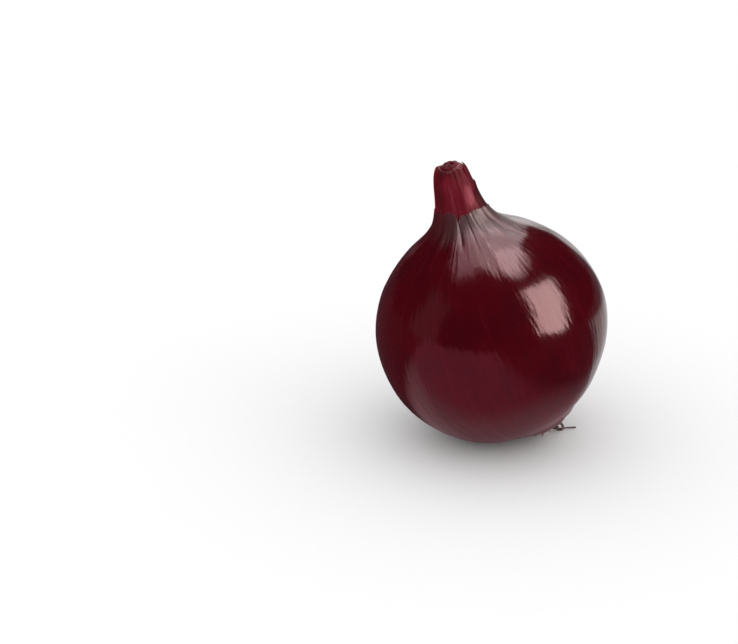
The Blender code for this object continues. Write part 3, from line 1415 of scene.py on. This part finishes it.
@dataclass
class Studio:
    """The pale floor, the soft lights, the surround and the camera."""

    centre: Vector
    elevation: float = math.radians(24)
    distance: float = 0.75
    lens: float = 109.8
    aim: Vector = field(default_factory=lambda: Vector((-40.8, 0.0, 38.8)) * MM)
    floor_radius: float = 6.0
    floor_drop: float = 0.05 * MM
    white: Colour = (1.0, 1.0, 1.0)
    ambient: Colour = (1.08, 1.08, 1.08)
    surround: Colour = (0.010, 0.010, 0.011)
    horizon: Colour = (0.95, 0.95, 0.96)
    softboxes: tuple[Softbox, ...] = (
        Softbox(
            "key_softbox", (0.815, -0.320, 0.520), (0.44, 0.86, -0.25),
            1.0, 0.61, 0.79, 9.2, 1.35, (1.0, 0.97, 0.94),
        ),
        Softbox(
            "top_softbox", (0.30, 0.09, 1.0), (1.0, 0.12, 0.0),
            1.05, 0.36, 0.52, 4.6, 0.9, (0.98, 0.97, 1.0),
        ),
        Softbox(
            "ceiling_panel", (0.04, 0.364, 1.0), (1.0, 0.0, 0.0),
            1.15, 0.80, 1.33, 4.0, 0.10, (0.93, 0.97, 1.0),
        ),
        Softbox(
            "side_panel", (-0.45, 0.05, 1.0), (1.0, 0.0, 0.0),
            1.10, 0.30, 0.70, 2.3, 0.0, (1.0, 0.85, 0.98),
        ),
        Softbox(
            "back_panel", (-0.05, 1.0, 0.42), (1.0, 0.0, 0.0),
            1.50, 0.90, 1.00, 2.0, 0.0, (0.96, 1.0, 0.98),
        ),
        Softbox(
            "left_fill", (-0.93, -0.35, 0.35), (0.0, 1.0, 0.0),
            1.2, 0.7, 0.9, 0.20, 0.1, (0.95, 0.94, 1.0),
        ),
    )

    def build(self) -> None:
        """Builds the floor, lights, surround and camera."""
        self.build_floor()
        for softbox in self.softboxes:
            softbox.build(self.centre)
        self.build_surround()
        self.build_camera()
        bpy.context.scene.view_settings.view_transform = "Standard"

    def build_floor(self, corners: int = 96) -> None:
        """Builds the round pale floor under the onion.

        Args:
            corners: How many corners its edge has.
        """
        turn = circle(1, corners)
        ring = np.stack([np.cos(turn), np.sin(turn), 0 * turn], axis=-1) * self.floor_radius
        points = ring - np.array([0, 0, self.floor_drop])
        floor = make_mesh("floor", points, [list(range(corners))], {})
        floor.data.materials.append(Tabletop().material())

    def build_surround(self) -> None:
        """Builds the world: white to the camera, a dim room with a pale horizon to the onion."""
        world = bpy.data.worlds.new("surround")
        world.use_nodes = True
        bpy.context.scene.world = world
        board = Board(world.node_tree)
        way = board.node("ShaderNodeTexCoord")
        back, rise = (board.node("ShaderNodeSeparateXYZ", {}, {0: way}, out) for out in (1, 2))
        camera, glossy = (board.node("ShaderNodeLightPath", out=out) for out in (0, 3))
        low = rise.between(0.12, 0.015) * back.between(0.86, 0.96)
        room = board.blend(low, self.surround, self.horizon)
        colour = board.layers(self.ambient, (glossy, room), (camera, self.white))
        board.finish(board.node("ShaderNodeBackground", {}, {0: colour}), "ShaderNodeOutputWorld")

    def build_camera(self) -> None:
        """Builds the camera, which looks down at the onion from in front."""
        data = bpy.data.cameras.new("camera")
        data.lens = self.lens
        camera = bpy.data.objects.new("camera", data)
        back = Vector((0, -math.cos(self.elevation), math.sin(self.elevation)))
        camera.location = self.centre + back * self.distance
        camera.rotation_euler = (self.aim - camera.location).to_track_quat("-Z", "Y").to_euler()
        bpy.context.scene.collection.objects.link(camera)
        bpy.context.scene.camera = camera


# --- The whole onion --------------------------------------------------------------------------


def neck_papers(form: OnionForm, crimson: Material) -> list[NeckPaper]:
    """Lists the torn papers round the neck, from the innermost out.

    Args:
        form: The surface that they are laid on.
        crimson: The finish of the innermost.

    Returns:
        The papers, not built yet.
    """
    outer = OnionPaper(
        "outer_neck_paper", crimson=(0.055, 0.0010, 0.0045), neck_gloss=0.42, refraction=1.22
    )
    return [
        NeckPaper(
            form, crimson, "inner_neck_leaf",
            top=Tear(
                58.2 * MM, 1.2 * MM, 150, 0.5 * MM, Grain(41, 0.26, 5 * MM),
                splits=((-122, 1.8 * MM, 0.10), (-32, 5.0 * MM, 0.04), (60, 6.0 * MM, 0.06)),
            ),
            bottom=42.0 * MM, middle=-128, spread=318,
            foot_lift=-0.24 * MM, top_lift=0.50 * MM, curl=0.10 * MM,
        ),
        NeckPaper(
            form, outer.material(), "outer_neck_leaf",
            top=Tear(
                50.4 * MM, 2.6 * MM, 60, 0.6 * MM, Grain(43, 0.15, 5 * MM),
                splits=((35, 2.5 * MM, 0.07), (100, 3.5 * MM, 0.05)),
            ),
            bottom=41.6 * MM, middle=70, spread=190,
            foot_lift=-0.12 * MM, top_lift=0.32 * MM, curl=0.25 * MM,
        ),
        NeckPaper(
            form, OnionPaper("rim_paper").material(), "shoulder_skin_rim",
            top=Tear(
                form.collar - 0.8 * MM, 3.0 * MM, -140, 0.40 * MM, Grain(45, 0.16, 5 * MM),
                splits=((-94, 3.4 * MM, 0.045), (28, 2.0 * MM, 0.05), (150, 2.4 * MM, 0.06)),
            ),
            bottom=form.seam - 0.5 * MM, middle=90, spread=359,
            foot_lift=0.02 * MM, top_lift=0.06 * MM, curl=0.14 * MM, papery=0.0,
        ),
    ]


def main() -> None:
    """Builds the onion and its studio."""
    logging.basicConfig(level=logging.INFO, format="%(message)s")
    form = OnionForm()
    Studio(Vector((0, 0, form.place.translation.z))).build()
    BulbSkin(form, OnionPaper().material()).build()
    inner = OnionPaper("inner_neck_paper", neck_gloss=0.40, translucency=0.30, refraction=1.22)
    crimson = inner.material()
    for leaf in neck_papers(form, crimson):
        leaf.build()
    WitheredCore(form, crimson).build()
    RootEnd(
        form,
        Cork().material(),
        RootFibre("root_bark", (0.19, 0.115, 0.070), (0.50, 0.40, 0.29)).material(),
        RootFibre("dark_root_bark", (0.070, 0.034, 0.030), (0.26, 0.165, 0.140)).material(),
    ).build()


if __name__ == "__main__":
    main()
